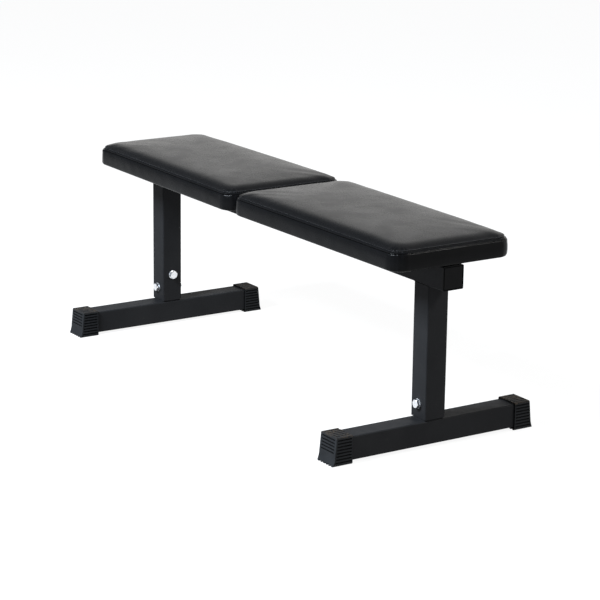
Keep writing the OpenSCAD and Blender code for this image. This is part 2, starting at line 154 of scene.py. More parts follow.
def pad_vinyl():
    """Grained vinyl, lighter where a painted highlight runs along the ridge above the stitches, and near
    black where painted shade runs along the seam.
    """
    dark, light, pore_colour = (0.0021, 0.0022, 0.0024), (0.0032, 0.0033, 0.0036), (0.001, 0.001, 0.001)
    # Painted highlight colour for the ridge above the stitches, then painted shade colour for the seam
    ridge_highlight_colour, seam_shade_colour = (0.040, 0.041, 0.043), (0.0006, 0.0006, 0.0007)
    s = Shader("pad_vinyl", 0.27, Specular_IOR_Level=0.048)
    pores = s.cells(900.0)
    base = s.mixed(s.ranged(s.noise(7.0, 4.0, 0.6), 0.3, 0.7, 0, 1), dark, light)
    tone = s.mixed(s.ranged(pores, 0.0, 0.35, 0.35, 0), base, pore_colour)
    # Painted highlight along the ridge above the stitches, broken into patches by noise
    ridge_highlight = s.node("Attribute", attribute_name="painted_ridge_highlight").outputs["Fac"]
    patches = s.ranged(s.noise(150.0, 3.0), 0.35, 0.6, 0.5, 1.0)
    highlighted = s.mixed(s.math("MULTIPLY", ridge_highlight, patches), tone, ridge_highlight_colour)
    # Painted shade, near black, along the seam, strongest along the long sides where the seam is open
    seam = s.node("Attribute", attribute_name="painted_seam_shade").outputs["Fac"]
    s.set("Base Color", s.mixed(seam, highlighted, seam_shade_colour))
    s.set("Roughness", s.ranged(s.noise(16.0, 4.0, 0.6), 0.3, 0.7, 0.23, 0.31))
    s.bump(pores, 0.00012, 0.45)
    s.bump(s.cells(330.0, "SMOOTH_F1"), 0.00016, 0.22)
    s.bump(s.noise(1800.0, 2.0), 0.00004, 0.4)
    return s.material


def foot_rubber():
    """Rubber with painted shade, near black, in the grooves and notches and under the rim, with patches of
    dust on the cap's top.
    """
    # The first colour here is near black painted shade for the grooves, notches and rim; the second is dust
    groove_shade_colour, dust_colour = (0.0007, 0.0007, 0.0008), (0.058, 0.043, 0.029)
    dark, light = (0.0098, 0.0106, 0.0115), (0.0136, 0.0146, 0.0157)
    s = Shader("foot_rubber", 0.6, Specular_IOR_Level=0.035)
    place = s.node("SeparateXYZ", {0: s.place}).outputs
    from_bar = s.math("ABSOLUTE", s.math("SUBTRACT", s.math("ABSOLUTE", place["X"]), BAR_AT))
    out = s.math("ABSOLUTE", place["Y"])
    low = s.math("POWER", s.ranged(place["Z"], 0.0, CAP_FLARE_HEIGHT, 1.0, 0.0), CAP_FLARE_POWER)
    lean = s.ranged(place["Z"], CAP_FLARE_HEIGHT, CAP_TOP, CAP_LEAN, 0.0)
    spread = s.math("ADD", lean, s.math("MULTIPLY", low, 1 - CAP_LEAN))
    end_wall = s.math("ADD", s.math("MULTIPLY", spread, CAP_FLARE), CAP_END - CAP_FLARE)
    depth = s.math("SUBTRACT", end_wall, out)
    on_side = s.ranged(from_bar, CAP_HALF - 0.0012, CAP_HALF - 0.0002, 0.0, 1.0)
    on_end = s.ranged(depth, 0.0003, 0.0011, 1.0, 0.0)
    on_top = s.ranged(place["Z"], CAP_TOP - 0.0014, CAP_TOP - 0.0004, 0.0, 1.0)
    past_rim = s.ranged(out, CAP_RIM + 0.0001, CAP_RIM + 0.0005, 0.0, 1.0)
    # Outer faces keep the rubber's colour; the grooves, notches and the rim get the painted shade
    skin = s.math("MULTIPLY", s.math("MAXIMUM", on_side, s.math("MAXIMUM", on_end, on_top)), past_rim)
    rib = s.mixed(s.ranged(s.noise(45.0, 5.0, 0.7), 0.35, 0.7, 0, 1), dark, light)
    patch = s.ranged(s.noise(28.0, 2.0), 0.42, 0.58, 0.25, 1.0)
    specks = s.ranged(s.noise(360.0, 3.0, 0.7), 0.45, 0.62, 0.0, 0.75)
    near_top = s.ranged(place["Z"], CAP_TOP - 0.0035, CAP_TOP - 0.0015, 0.0, 1.0)
    dust = s.math("MULTIPLY", near_top, s.math("MULTIPLY", patch, specks))
    s.set("Base Color", s.mixed(dust, s.mixed(skin, groove_shade_colour, rib), dust_colour))
    s.set("Roughness", s.ranged(s.noise(90.0, 4.0), 0.3, 0.7, 0.50, 0.68))
    s.bump(s.noise(520.0, 4.0, 0.65), 0.0002, 0.4)
    return s.material


def plug_plastic():
    s = Shader("plug_plastic", 0.5, Specular_IOR_Level=0.045)
    s.set("Base Color", s.mixed(s.noise(60.0, 4.0), (0.0025, 0.0026, 0.0028), (0.0045, 0.0046, 0.0048)))
    s.set("Roughness", s.ranged(s.noise(120.0, 3.0), 0.3, 0.7, 0.42, 0.56))
    s.bump(s.noise(1100.0, 3.0), 0.00012, 0.5)
    return s.material


def zinc():
    s = Shader("zinc_plate", 0.3, Metallic=1.0)
    cloud = s.noise(160.0, 4.0, 0.6)
    base = s.mixed(s.ranged(cloud, 0.35, 0.7, 0, 1), (0.80, 0.81, 0.82), (0.62, 0.64, 0.67))
    stain = s.ranged(s.noise(420.0, 3.0), 0.62, 0.74, 0, 0.45)
    s.set("Base Color", s.mixed(stain, base, (0.50, 0.47, 0.40)))
    s.set("Roughness", s.ranged(s.noise(600.0, 3.0), 0.3, 0.7, 0.24, 0.42))
    s.bump(s.noise(1500.0, 3.0), 0.00008, 0.5)
    return s.material


def seam_thread():
    s = Shader("seam_thread", 0.5, Specular_IOR_Level=0.12)
    s.set("Base Color", s.mixed(s.noise(900.0, 2.0), (0.011, 0.011, 0.012), (0.024, 0.024, 0.026)))
    s.bump(s.wave(900.0, s.place, "DIAGONAL"), 0.0001, 0.6)
    return s.material


def foam_block():
    s = Shader("pad_foam", 0.9, Specular_IOR_Level=0.15)
    s.set("Base Color", s.mixed(s.noise(20.0, 5.0), (0.70, 0.60, 0.36), (0.80, 0.72, 0.48)))
    s.bump(s.cells(1400.0), 0.0005, 0.8)
    return s.material


def plywood():
    ply_height = 0.003
    pale, brown, glue = (0.62, 0.45, 0.27), (0.42, 0.28, 0.15), (0.30, 0.19, 0.10)
    s = Shader("plywood", 0.7, Specular_IOR_Level=0.3)
    grain = s.noise(22.0, 6.0, 0.6, s.stretched((0.12, 2.2, 1.0)))
    fibre = s.noise(420.0, 3.0, 0.5, s.stretched((0.05, 1.0, 1.0)))
    height = s.node("SeparateXYZ", {0: s.place}).outputs["Z"]
    plies = s.math("SINE", s.math("MULTIPLY", height, 2 * math.pi / ply_height))
    flat = s.mixed(s.ranged(grain, 0.3, 0.7, 0, 1), pale, brown)
    s.set("Base Color", s.mixed(s.ranged(plies, -0.3, 0.3, 0, 0.35), flat, glue))
    s.bump(fibre, 0.0003, 0.6)
    return s.material


def dust_cloth():
    dark, light = (0.010, 0.010, 0.011), (0.028, 0.028, 0.030)
    s = Shader("dust_cloth", 0.85, Specular_IOR_Level=0.2)
    fibre = s.noise(900.0, 4.0, 0.7, s.stretched((1.0, 0.35, 1.0)))
    s.set("Base Color", s.mixed(s.ranged(fibre, 0.3, 0.7, 0, 1), dark, light))
    s.bump(fibre, 0.0003, 0.7)
    s.bump(s.cells(330.0), 0.0003, 0.5)
    return s.material


MATERIALS = {
    "frame_steel": powder_coat(),
    "plug_plastic": plug_plastic(),
    "zinc_fasteners": zinc(),
    "foot_rubber": foot_rubber(),
    "pad_vinyl": pad_vinyl(),
    "pad_foam": foam_block(),
    "pad_board": plywood(),
    "dust_cloth": dust_cloth(),
    "seam_thread": seam_thread(),
}
for part in frame["record"]["subparts"]:
    mesh = nodes[part["node"]].data
    mesh.materials.clear()
    mesh.materials.append(MATERIALS[part["material_slot"]])


# Points this close become one, and edges this short go, in millimetres
MERGE_AT, DISSOLVE_AT = 0.02, 0.01


def add_piece(name, points, faces, material, stands_for=()):
    """Makes a smooth mesh piece on the one body, from points in millimetres."""
    mesh = bpy.data.meshes.new(name)
    mesh.from_pydata([tuple(c * MM for c in p) for p in points], [], faces)
    mesh.validate()
    tidy = bmesh.new()
    tidy.from_mesh(mesh)
    bmesh.ops.remove_doubles(tidy, verts=tidy.verts, dist=MERGE_AT * MM)
    bmesh.ops.dissolve_degenerate(tidy, edges=tidy.edges, dist=DISSOLVE_AT * MM)
    bmesh.ops.recalc_face_normals(tidy, faces=tidy.faces)
    tidy.to_mesh(mesh)
    tidy.free()
    mesh.materials.append(MATERIALS[material])
    mesh.polygons.foreach_set("use_smooth", [True] * len(mesh.polygons))
    piece = bpy.data.objects.new(name, mesh)
    scene.collection.objects.link(piece)
    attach(piece, BODY)
    if stands_for:
        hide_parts(*stands_for)
    return piece


def baked(piece):
    """Applies a piece's modifiers to its mesh."""
    bpy.context.view_layer.update()
    made = bpy.data.meshes.new_from_object(piece.evaluated_get(bpy.context.evaluated_depsgraph_get()))
    piece.modifiers.clear()
    piece.data = made


# ---------------------------------------------------------------- pad outline and sections, in millimetres

band_low, band_high = (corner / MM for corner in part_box("front_pad_side_band"))
top_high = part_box("front_pad_top_panel")[1] / MM
board_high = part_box("front_pad_board")[1] / MM
PAD_START = band_low.x            # inner end of a pad, from the middle of the bench
PAD_LENGTH = band_high.x - band_low.x
HALF_INNER = band_high.y          # half width at the inner end
HALF_OUTER = 143.5                # half width at the outer end
CORNER = 32.0                     # corner radius of a pad's outline
UNDER = band_low.z                # lowest face of the folded vinyl
SEAM = band_high.z                # height of the seam
SKIN = 1.5                        # thickness of the vinyl
STRIP = 5.4                       # width and height of the sloping strip between the seam and the stitches
ROLL_WIDTH = 34.0                 # how far the top's rolled edge reaches inwards
ROLL_POWER = 2.5                  # how square the rolled edge is
SWELL = 3.0                       # how much the foam lifts the middle of the top
CROWN = 3.6                       # extra height of the top's middle before it swells
CROWN_END_REACH = 150.0           # how far from a pad's ends the crown is fully up
CROWN_SIDE_REACH = 60.0           # how far from a pad's long sides the crown is fully up
ROLL_HEIGHT = top_high.z - SEAM - SWELL - CROWN
SOFT_CORNER = 48.0                # corner radius of the top's inner height lines
FOLD = 30.0                       # how far the vinyl reaches inwards under the board
# The angle of a pad's long side to the rail
TAPER = math.atan((HALF_INNER - HALF_OUTER) / PAD_LENGTH)
MEDIAL_INSET = 138.0              # how far the top's middle line stops short of a pad's ends
TURN, SIDE, END = 20, 108, 46     # steps of the outline round a corner, along a side and across an end


def outline_stations():
    """Points, outward normals, distance along the outline, and distance from the nearest corner."""
    def arc(cx, cy, start, stop, count):
        for i in range(count):
            a = start + (stop - start) * i / count
            yield (cx + CORNER * math.cos(a), cy + CORNER * math.sin(a)), (math.cos(a), math.sin(a))

    def line(p, q, normal, count):
        for i in range(count):
            t = i / count
            yield (p[0] + (q[0] - p[0]) * t, p[1] + (q[1] - p[1]) * t), normal

    reach = CORNER / math.cos(TAPER)
    inner = (CORNER, HALF_INNER - CORNER * math.tan(TAPER) - reach)
    far = PAD_LENGTH - CORNER
    outer = (far, HALF_INNER - far * math.tan(TAPER) - reach)
    up = math.pi / 2 - TAPER
    top_normal = (math.cos(up), math.sin(up))
    touch_outer = (outer[0] + CORNER * top_normal[0], outer[1] + CORNER * top_normal[1])
    touch_inner = (inner[0] + CORNER * top_normal[0], inner[1] + CORNER * top_normal[1])
    down_normal = (top_normal[0], -top_normal[1])
    found = [
        *arc(*outer, 0, up, TURN),
        *line(touch_outer, touch_inner, top_normal, SIDE),
        *arc(*inner, up, math.pi, TURN),
        *line((0, inner[1]), (0, -inner[1]), (-1, 0), END),
        *arc(inner[0], -inner[1], math.pi, 2 * math.pi - up, TURN),
        *line((touch_inner[0], -touch_inner[1]), (touch_outer[0], -touch_outer[1]), down_normal, SIDE),
        *arc(outer[0], -outer[1], -up, 0, TURN),
        *line((PAD_LENGTH, -outer[1]), (PAD_LENGTH, outer[1]), (1, 0), END),
    ]
    points = np.array([p for p, n in found])
    normals = np.array([n for p, n in found])
    steps = np.linalg.norm(np.roll(points, -1, 0) - points, axis=1)
    along = np.concatenate([[0], np.cumsum(steps)[:-1]])
    corners = [0.5 * TURN, 1.5 * TURN + SIDE, 2.5 * TURN + SIDE + END, 3.5 * TURN + 2 * SIDE + END]
    total = steps.sum()
    middles = np.array([along[int(c)] for c in corners])
    away = np.abs(along[:, None] - middles[None, :])
    away = np.minimum(away, total - away)
    return points, normals, along, away.min(1)


POINTS, NORMALS, ALONG, FROM_CORNER = outline_stations()
COUNT = len(POINTS)


def smooth(t):
    t = min(1.0, max(0.0, t))
    return t * t * (3 - 2 * t)


def bell(distance, width):
    return math.exp(-(distance / width) ** 2)


def wander(x, y, size, seed):
    """Smooth noise from about -1 to 1 over the plane."""
    return noise.noise(Vector((x / size, y / size, seed)))


def rounded_distance(x, y, radius):
    """Distance inwards from the pad's four sides, for height lines that have this corner radius."""
    half_width = HALF_INNER - x * math.tan(TAPER)
    qx = abs(x - PAD_LENGTH / 2) - (PAD_LENGTH / 2 - radius)
    qy = (abs(y) - (half_width - radius)) * math.cos(TAPER)
    return radius - (math.hypot(max(qx, 0.0), max(qy, 0.0)) + min(max(qx, qy), 0.0))


def edge_distance(x, y):
    """Distance inwards from the outline, rounder at the corners the further in it is."""
    outer = rounded_distance(x, y, CORNER)
    share = smooth((outer - 2) / 28)
    return outer + (rounded_distance(x, y, SOFT_CORNER) - outer) * share


def rolled_height(distance):
    """Height of the top's rolled edge above the seam at a distance from the outline."""
    if distance < STRIP:
        return max(distance, 0.0)
    t = min(1.0, (distance - STRIP) / (ROLL_WIDTH - STRIP))
    return STRIP + (ROLL_HEIGHT - STRIP) * (1 - (1 - t) ** ROLL_POWER)


def eased_rise(t):
    return 1 - (1 - min(1.0, max(0.0, t))) ** 2


def top_height(x, y, skin=0.0):
    """Height of the top above the seam, for a surface that lies a skin's thickness inside it."""
    from_end = PAD_LENGTH / 2 - abs(x - PAD_LENGTH / 2)
    from_side = HALF_INNER - x * math.tan(TAPER) - abs(y)
    crown = CROWN * eased_rise(from_end / CROWN_END_REACH) * eased_rise(from_side / CROWN_SIDE_REACH)
    return rolled_height(edge_distance(x, y) - skin) + crown - skin


def section_table():
    """Distance inwards, against the length of the section from the seam."""
    insets = ROLL_WIDTH * np.linspace(0, 1, 600) ** 2
    heights = np.array([rolled_height(d) for d in insets])
    lengths = np.concatenate([[0], np.cumsum(np.hypot(np.diff(insets), np.diff(heights)))])
    return insets, lengths


SECTION_INSETS, SECTION_LENGTHS = section_table()
# Rows of the cushion's top: length along the section from the seam, then share of the way to the middle.
# The last of the three named rows carries the vinyl's painted highlight.
SEAM_ROW, STITCH_ROW, HIGHLIGHT_ROW = 0.5, 6.6, 8.1
FINE_SIDE = [0.0, SEAM_ROW, 1.0, 1.5, 2.1, 2.8, 3.6, 4.6, 5.6, 6.2, STITCH_ROW, 6.9, 7.2, 7.5, 7.8,
             HIGHLIGHT_ROW, 8.4, 8.8, 9.3, 10.0, 11.0, 12.4, 14.5, 17.5, 21.0]
PLAIN_SIDE = [0.0, 3.0, 6.5, 11.0, 16.0, 21.0]
TOP_SHARES = [0.03, 0.065, 0.105] + [round(0.15 + 0.05 * i, 2) for i in range(18)]
SLOPE_STEP = 1.5
TOP_LENGTH = 99.0                 # the length given to the flat rows, past every detail of the edge


def medial(x):
    return min(max(x, MEDIAL_INSET), PAD_LENGTH - MEDIAL_INSET)


def top_rows(fine, skin=0.0):
    """The cushion above the seam, as rows of (point, outward slope, length along the section)."""
    sides = FINE_SIDE if fine else PLAIN_SIDE
    last = float(np.interp(sides[-1], SECTION_LENGTHS, SECTION_INSETS)) + skin
    rows = []
    for length in sides:
        inset = float(np.interp(length, SECTION_LENGTHS, SECTION_INSETS))
        slope = math.atan2(rolled_height(inset + SLOPE_STEP) - rolled_height(inset), SLOPE_STEP)
        reach = inset + skin
        rows.append([((p[0] - n[0] * reach, p[1] - n[1] * reach), slope, length)
                     for p, n in zip(POINTS, NORMALS)])
    for share in TOP_SHARES:
        row = []
        for p, n in zip(POINTS, NORMALS):
            x, y = p[0] - n[0] * last, p[1] - n[1] * last
            row.append(((x + (medial(x) - x) * share, y * (1 - share)), 0.0, TOP_LENGTH))
        rows.append(row)
    return [[((x, y, SEAM + top_height(x, y, skin)), slope, length) for (x, y), slope, length in row]
            for row in rows]


def gathers(away, along, reach, pitch, seed):
    """Small folds of the vinyl round a corner, from -1 to 1."""
    phase = 2 * math.pi * along / pitch + 2.4 * math.sin(along / 7.3 + seed)
    return smooth(1 - away / reach) * math.sin(phase)


# ---------------------------------------------------------------- pads


def grid_faces(rows, count, start=0):
    faces = []
    for r in range(rows - 1):
        for i in range(count):
            j = (i + 1) % count
            a, b = start + r * count + i, start + r * count + j
            faces.append((a, b, b + count, a + count))
    return faces


SIM_FRAMES = 20
SEEDS = {"front": 3.7, "rear": 11.2}
# Walls of the simulated cushion: distance inwards, and height above the underside
SIM_WALLS = ((3.0, 0), (1.0, 3), (1.0, 12), (1.0, 20), (1.0, 28))
VOXEL = 0.006
START_BUMPS = 0.0003              # height in metres of the uneven top that the swelling starts from
START_BUMP_SIZE = 38.0
PIN_ABOVE_BOARD, PIN_FADE = 6, 8  # free above this height over the board, and held fully this much lower
CLOTH_SETTINGS = {"quality": 6, "mass": 0.4, "tension_stiffness": 25, "compression_stiffness": 25,
                  "shear_stiffness": 8, "bending_stiffness": 3, "use_pressure": True,
                  "uniform_pressure_force": 4, "vertex_group_mass": "pin"}


def inflated(end):
    """Cloth simulation of the cushion under pressure: its points at rest, and how far each one moves."""
    seed = SEEDS[end]
    upper = [[p for p, _, _ in row] for row in top_rows(fine=False)]
    walls = [[(px - nx * s, py - ny * s, UNDER + height) for (px, py), (nx, ny) in zip(POINTS, NORMALS)]
             for s, height in SIM_WALLS]
    rows = walls + upper
    points = [p for row in rows for p in row]
    faces = grid_faces(len(rows), COUNT) + [tuple(range(COUNT))]
    mesh = bpy.data.meshes.new("cushion_start")
    mesh.from_pydata([tuple(c * MM for c in p) for p in points], [], faces)
    start = bpy.data.objects.new("cushion_start", mesh)
    scene.collection.objects.link(start)
    remesh = start.modifiers.new("remesh", "REMESH")
    remesh.mode = "VOXEL"
    remesh.voxel_size = VOXEL
    baked(start)
    mesh = start.data
    rest = np.array([v.co for v in mesh.vertices])
    for v in mesh.vertices:
        bump = START_BUMPS * wander(v.co.x / MM, v.co.y / MM, START_BUMP_SIZE, seed)
        v.co.z += bump * (v.co.z > SEAM * MM)
    pin = start.vertex_groups.new(name="pin")
    for v in mesh.vertices:
        height = v.co.z / MM
        hold = float(np.clip((board_high.z + PIN_ABOVE_BOARD - height) / PIN_FADE, 0, 1))
        if hold > 0:
            pin.add([v.index], hold, "REPLACE")
    cloth = start.modifiers.new("cloth", "CLOTH")
    for key, value in CLOTH_SETTINGS.items():
        setattr(cloth.settings, key, value)
    cloth.settings.effector_weights.gravity = 0
    cloth.collision_settings.use_collision = False
    cloth.point_cache.frame_start = 1
    cloth.point_cache.frame_end = SIM_FRAMES
    for step in range(1, SIM_FRAMES + 1):
        scene.frame_set(step)
    swollen = start.evaluated_get(bpy.context.evaluated_depsgraph_get()).to_mesh()
    moved = np.array([v.co for v in swollen.vertices]) - rest
    scene.frame_set(1)
    bpy.data.objects.remove(start)
    return rest / MM, moved / MM


SWELL_LIMIT = 1.7                 # the largest swell, as a multiple of the middle's
MIDDLE_UP, MIDDLE_SIDE, MIDDLE_END = 9, 30, 60   # reach of the middle, where the swell is measured
NEAR_POINTS, NEAR_SOFT = 8, 1.5   # points of the simulation that count at a place, and how softly they fade


class Swell:
    def __init__(self, end):
        self.tree = None
        rest, moved = inflated(end)
        middle = rest[:, 2] > SEAM + MIDDLE_UP
        middle &= np.abs(rest[:, 1]) < MIDDLE_SIDE
        middle &= np.abs(rest[:, 0] - PAD_LENGTH / 2) < MIDDLE_END
        self.moved = moved * (SWELL / float(moved[middle, 2].mean()))
        lengths = np.linalg.norm(self.moved, axis=1)
        cap = SWELL_LIMIT * SWELL
        self.moved *= (cap * np.tanh(lengths / cap) / np.maximum(lengths, 1e-6))[:, None]
        self.tree = KDTree(len(rest))
        for i, p in enumerate(rest):
            self.tree.insert(p, i)
        self.tree.balance()

    def at(self, p):
        if self.tree is None:
            x = 1 - ((p[0] - PAD_LENGTH / 2) / (PAD_LENGTH / 2)) ** 4
            y = 1 - (p[1] / HALF_INNER) ** 2
            return np.array((0.0, 0.0, SWELL * max(x, 0.0) * max(y, 0.0) if p[2] > SEAM else 0.0))
        near = self.tree.find_n(p, NEAR_POINTS)
        weights = np.array([1.0 / (d + NEAR_SOFT) ** 2 for _, _, d in near])
        return (self.moved[[i for _, i, _ in near]] * weights[:, None]).sum(0) / weights.sum()


# Side band from the cut edge under the board to the seam: distance inwards, and height above the underside
BAND = [(30.0, 0.0), (24.0, 0.0), (18.0, 0.0), (12.0, 0.0), (7.0, 0.0), (4.0, 0.05), (2.2, 0.4), (1.0, 1.1),
        (0.35, 2.1), (0.1, 3.4),
        (0.0, 6.0), (0.0, 9.0), (0.0, 12.5), (0.0, 16.0), (0.0, 19.5), (0.0, 23.0), (0.0, 26.5),
        (0.0, 29.5), (0.0, 31.5), (0.1, 32.9), (0.4, 33.9), (1.0, 34.7), (2.0, 35.2), (3.2, 35.4)]
# Its last rows where the seam is pulled shut
CLOSED = [(0.0, 32.9), (0.0, 34.0), (0.1, 34.9), (0.5, 35.5), (1.0, 35.8)]
SHUT_BAND = BAND[:-len(CLOSED)] + CLOSED
FOLDED_BELOW = 0.3                # height below which the band lies folded under the board
SWELL_FROM, SWELL_OVER = 14.0, 20.0   # height where the band starts to follow the swell, and over how much


def seam_gap(nx):
    """How open the seam is, from 1 along the pad's long sides to almost 0 across its ends."""
    return 1 - 0.85 * smooth((abs(nx) - 0.5) / 0.4)


def seam_ripple(s, seed):
    """The small waves that the stitches pull into the vinyl, from -1 to 1."""
    return math.sin(s / 1.9 + 3 * wander(s, 0, 40.0, seed))


def band_cut(inset, height, s, away, fold, seed):
    """Distance inwards of the band's side, with its belly, its folds at the corners and its ripples."""
    share = height / (SEAM - UNDER)
    belly = math.sin(math.pi * share ** 0.85)
    uneven = 0.5 * wander(s, height, 80.0, seed) + 0.35 * wander(s, height * 1.4, 24.0, seed + 5)
    near_edges = (0.12 + abs(2 * share - 1) ** 2) * min(1.0, height / 5)
    cut = inset - belly * (1.9 + uneven)
    cut -= (0.9 * fold + 0.7 * gathers(away, s + 4, 34.0, 8.0, seed + 1)) * near_edges
    return cut - 0.14 * seam_ripple(s, seed) * max(0.0, 1 - (1 - share) * 5)


def band_rows(seed, swell):
    rows = []
    for (open_inset, open_height), (shut_inset, shut_height) in zip(BAND, SHUT_BAND):
        row = []
        for (px, py), (nx, ny), s, away in zip(POINTS, NORMALS, ALONG, FROM_CORNER):
            gap = seam_gap(nx)
            inset = shut_inset + (open_inset - shut_inset) * gap
            height = shut_height + (open_height - shut_height) * gap
            fold = gathers(away, s, 44.0, 11.5, seed)
            if height > FOLDED_BELOW:
                cut, drop = band_cut(inset, height, s, away, fold, seed), 0.0
            else:
                cut = inset + 1.6 * wander(s, 3.0, 21.0, seed) * (inset / FOLD)
                drop = 0.55 * abs(fold) * min(1.0, inset / 8.0)
            p = np.array((px - nx * cut, py - ny * cut, UNDER + height - drop))
            if height > SWELL_FROM:
                p += swell.at(tuple(p)) * smooth((height - SWELL_FROM) / SWELL_OVER)
            row.append(p)
        rows.append(row)
    return rows


CREASE_COUNT, CREASE_HEIGHT = 9, 0.16


def creases(x, y, seed):
    """Short shallow wrinkles that lie across the inner half of the pad."""
    chance = random.Random(seed)
    height = 0.0
    for _ in range(CREASE_COUNT):
        cx, cy = chance.uniform(60, 330), chance.uniform(-95, 95)
        turn = math.radians(chance.uniform(55, 115))
        reach, width = chance.uniform(16, 34), chance.uniform(3.0, 5.0)
        along = (x - cx) * math.cos(turn) + (y - cy) * math.sin(turn)
        across = (y - cy) * math.cos(turn) - (x - cx) * math.sin(turn) + 3 * math.sin(along / 15)
        height += chance.choice((-1, 1)) * CREASE_HEIGHT * bell(along, reach) * bell(across, width)
    return height


def lip_height(length, gap):
    """Height over the section of the strip's raised edge, the stitched groove and the seam's lip."""
    lip = -1.0 + 1.45 * smooth((length - 6.7) / 1.1) - 0.45 * smooth((length - 8.0) / 5.0)
    lip += 0.95 * bell(length - 1.7, 0.9) * gap + 0.7 * (1 - gap) * smooth((7.0 - length) / 3.0)
    return lip - 0.3 * bell(length - STITCH_ROW, 0.45)


def soft_dents(x, y, seed):
    dent = 0.30 * wander(x, y, 130.0, seed) + 0.04 * wander(x, y, 46.0, seed + 9)
    dent += 0.02 * wander(0.5 * x + y, y - 0.3 * x, 17.0, seed + 4) + 0.5 * creases(x, y, seed)
    return dent * smooth((edge_distance(x, y) - 12) / 40)


def cover_top_rows(seed, swell):
    """The top panel: crease at the seam, a raised strip, the stitched groove, and the crowned top."""
    rows = []
    for row in top_rows(fine=True):
        new = []
        for ((x, y, z), slope, length), (nx, ny), s, away in zip(row, NORMALS, ALONG, FROM_CORNER):
            p = np.array((x, y, z)) + swell.at((x, y, z))
            gap = seam_gap(nx)
            ripple = 0.13 * seam_ripple(s, seed) * bell(length - 9.0, 4.5)
            pucker = 0.6 * gathers(away, s, 52.0, 9.5, seed + 2) * bell(length - 10.5, 6.0)
            out = lip_height(length, gap) + ripple + pucker
            p += out * np.array((nx * math.sin(slope), ny * math.sin(slope), math.cos(slope)))
            tuck = (0.6 + 2.4 * gap) * max(0.0, 1 - length / 0.9)
            p -= tuck * np.array((nx, ny, 0.0))
            p[2] += soft_dents(x, y, seed)
            new.append(p)
        rows.append(new)
    return rows


def placed(points, end):
    """Points on the bench, from a pad's own points that start at its inner end."""
    return [(ENDS[end] * (PAD_START + p[0]), p[1], p[2]) for p in points]


def make_cover(end, rows):
    points = [p for row in rows for p in row]
    cover = add_piece(f"{end}_pad_cover", placed(points, end), grid_faces(len(rows), COUNT),
                      "pad_vinyl", [f"{end}_pad_top_panel", f"{end}_pad_side_band"])
    seam_line = rows[len(BAND) + FINE_SIDE.index(SEAM_ROW)]
    highlight_line = rows[len(BAND) + FINE_SIDE.index(HIGHLIGHT_ROW)]
    # Painted shade along the seam, strongest along the long sides where the seam is open
    mark_line(cover, "painted_seam_shade", placed(seam_line, end), 1.2, lambda nx: 0.25 + 0.75 * seam_gap(nx))
    # Painted highlight along the ridge above the stitches, strongest across the pad ends
    mark_line(cover, "painted_ridge_highlight", placed(highlight_line, end), 0.55, lambda nx: 0.45 - 0.4 * seam_gap(nx))
    thick = cover.modifiers.new("thick", "SOLIDIFY")
    thick.thickness = SKIN * MM
    thick.offset = -1
    baked(cover)


FOAM_GAP = SKIN + 0.8             # from the outside of the cover to the foam
# Walls of the foam core: distance inwards from that gap, and height
FOAM_WALLS = ((1.0, board_high.z + 0.1), (0.2, board_high.z + 1.5), (0.2, SEAM - 9), (3.6, SEAM - 4))


def make_foam_core(end, swell):
    """Foam between the board and the cover."""
    rows = [[np.array((px - nx * (FOAM_GAP + s), py - ny * (FOAM_GAP + s), z))
             for (px, py), (nx, ny) in zip(POINTS, NORMALS)] for s, z in FOAM_WALLS]
    for row in top_rows(fine=False, skin=FOAM_GAP)[1:]:
        rows.append([np.array(p) + swell.at(p) - np.array((0, 0, 1.0)) for p, _, _ in row])
    points = [p for row in rows for p in row]
    faces = grid_faces(len(rows), COUNT) + [tuple(reversed(range(COUNT)))]
    foam = add_piece(f"{end}_pad_foam_core", placed(points, end), faces, "pad_foam",
                     [f"{end}_pad_foam"])


def mark_line(cover, label, line, width, strength):
    """Stores a mark on the mesh along one of its rows of points; the vinyl's material paints shade along
    the seam's mark and a highlight along the ridge's mark.
    """
    tree = KDTree(len(line))
    for i, p in enumerate(line):
        tree.insert(tuple(c * MM for c in p), i)
    tree.balance()
    marks = cover.data.attributes.new(label, "FLOAT", "POINT")
    values = []
    for v in cover.data.vertices:
        _, i, distance = tree.find(v.co)
        values.append(strength(NORMALS[i][0]) * smooth(1.6 - distance / MM / width))
    marks.data.foreach_set("value", values)


STITCH_PITCH, STITCH_LENGTH, STITCH_RADIUS, STITCH_SIDES = 5.0, 3.0, 0.50, 8
# A stitch from end to end: share of its length, and share of its radius
STITCH_PROFILE = ((0.0, 0.15), (0.12, 0.7), (0.3, 1.0), (0.5, 1.0), (0.7, 1.0), (0.88, 0.7), (1.0, 0.15))


def stitch_points(first, last, centre):
    """Rings of points round one bowed stitch between two places on the seam."""
    axis = last - first
    axis /= np.linalg.norm(axis)
    outward = np.cross(axis, (0, 0, 1.0))
    if outward @ (first - centre) < 0:
        outward = -outward
    outward = outward / np.linalg.norm(outward) + np.array((0, 0, 1.0))
    outward /= np.linalg.norm(outward)
    across = np.cross(outward, axis)
    points = []
    for t, wide in STITCH_PROFILE:
        lift = 0.25 - 0.55 * (2 * t - 1) ** 4
        spot = first + (last - first) * t + outward * lift
        for a in range(STITCH_SIDES):
            turn = 2 * math.pi * a / STITCH_SIDES
            spoke = math.cos(turn) * outward + math.sin(turn) * across
            points.append(spot + STITCH_RADIUS * wide * spoke)
    return points


